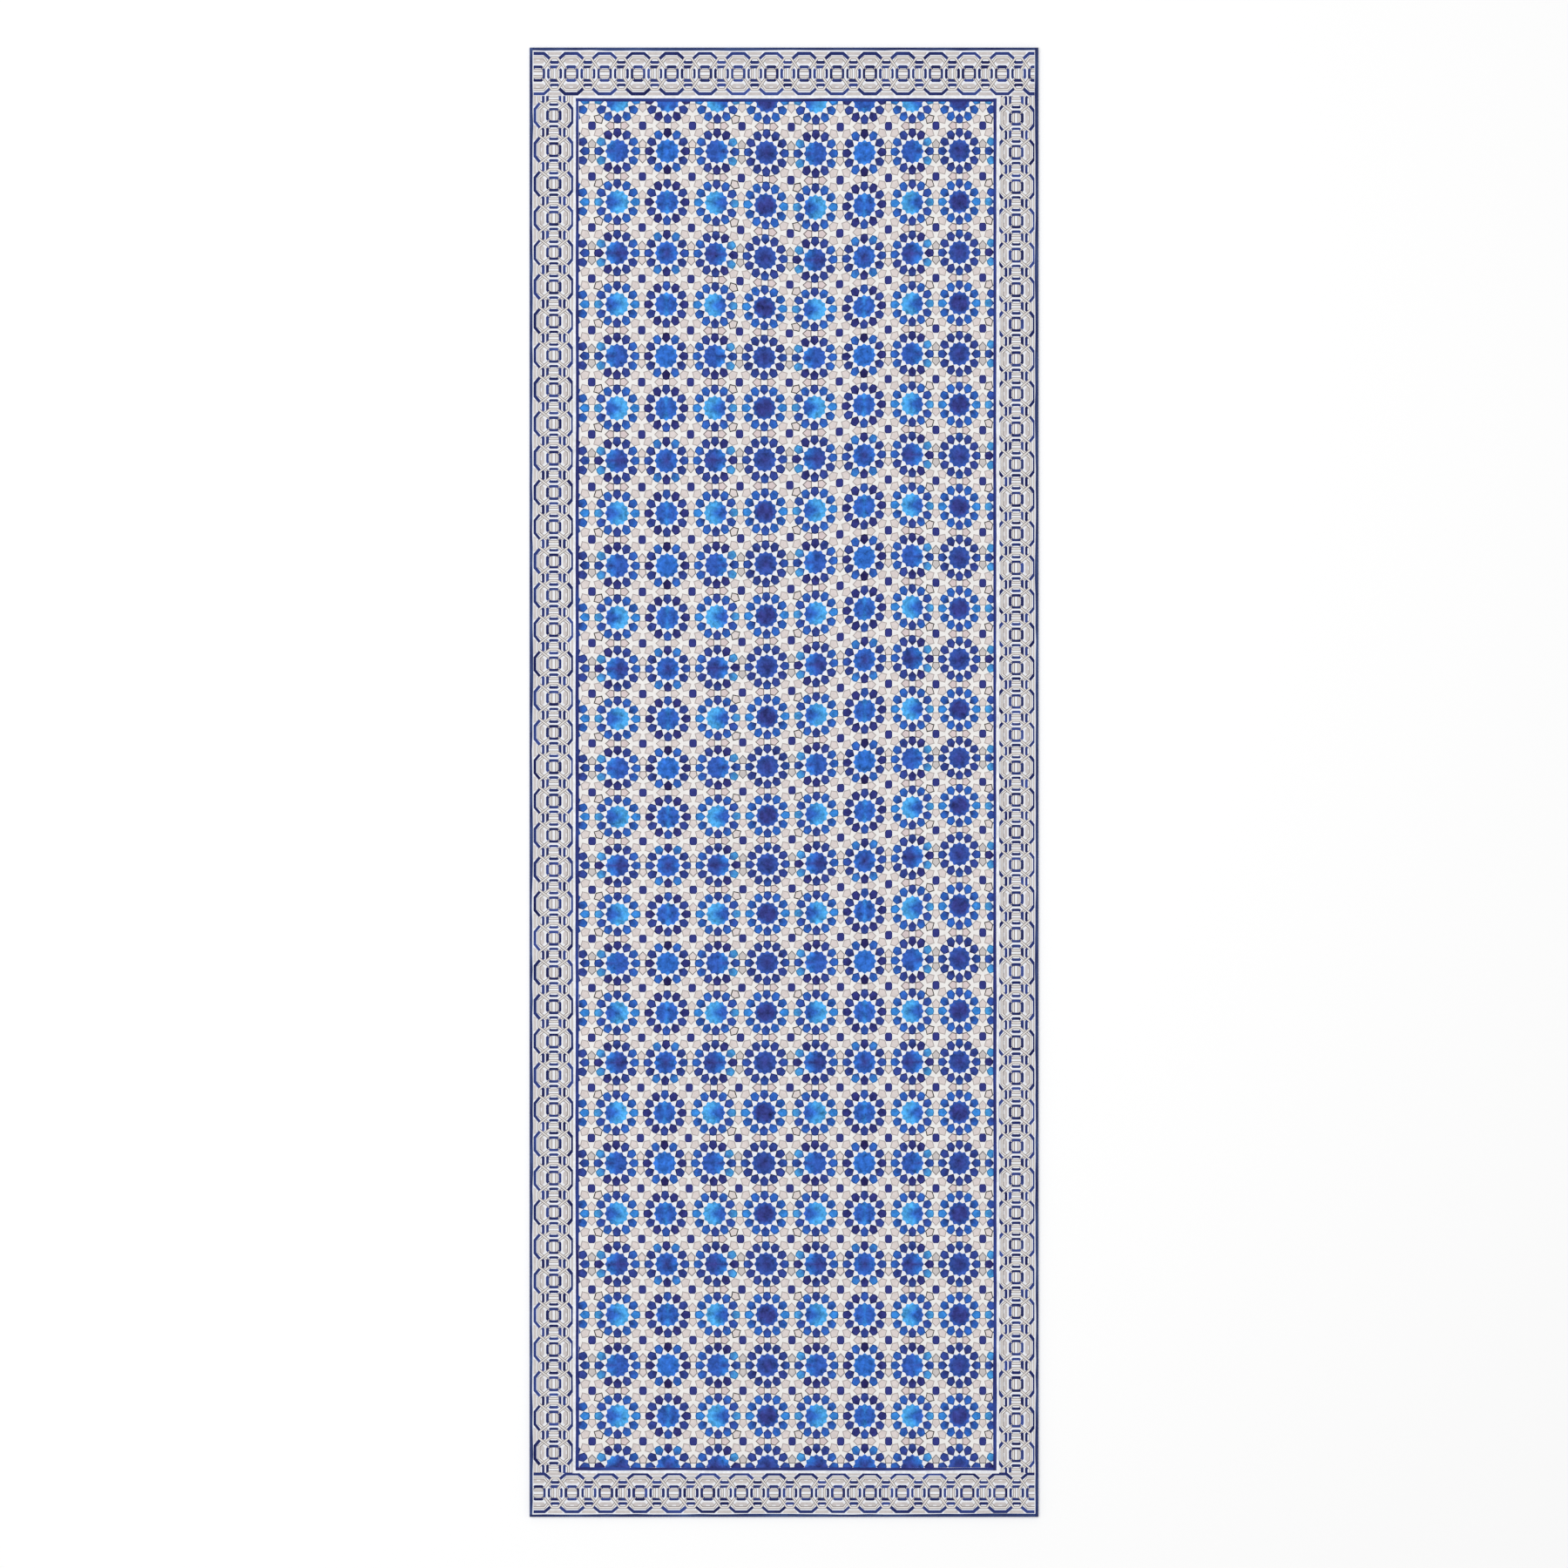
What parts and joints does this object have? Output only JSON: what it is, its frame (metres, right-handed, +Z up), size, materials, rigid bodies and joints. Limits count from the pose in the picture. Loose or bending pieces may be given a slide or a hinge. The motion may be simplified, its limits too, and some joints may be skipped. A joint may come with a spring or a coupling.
{
  "type": "runner rug",
  "caption": "Flat printed runner rug with a mitred turned-under hem, felt core and a backing cloth with rubber grip dots.",
  "frame": {"origin": "middle of the underside, on the floor", "axes": "+Z up from the floor, +Y along the runner to its head end, X across the runner"},
  "size_m": [0.686, 1.981, 0.006],
  "materials": {
    "printed_face": "printed low pile, matt",
    "needled_felt": "needled felt",
    "woven_backing": "plain weave",
    "grip_rubber": "satin rubber",
    "sewing_thread": "twisted thread"
  },
  "bodies": {
    "root": {"face_cloth": "printed_face", "felt_core": "needled_felt", "backing_cloth": "woven_backing", "grip_dots": "grip_rubber", "hem_stitch_left": "sewing_thread", "hem_stitch_right": "sewing_thread", "hem_stitch_head": "sewing_thread", "hem_stitch_foot": "sewing_thread"}
  },
  "joints": []
}
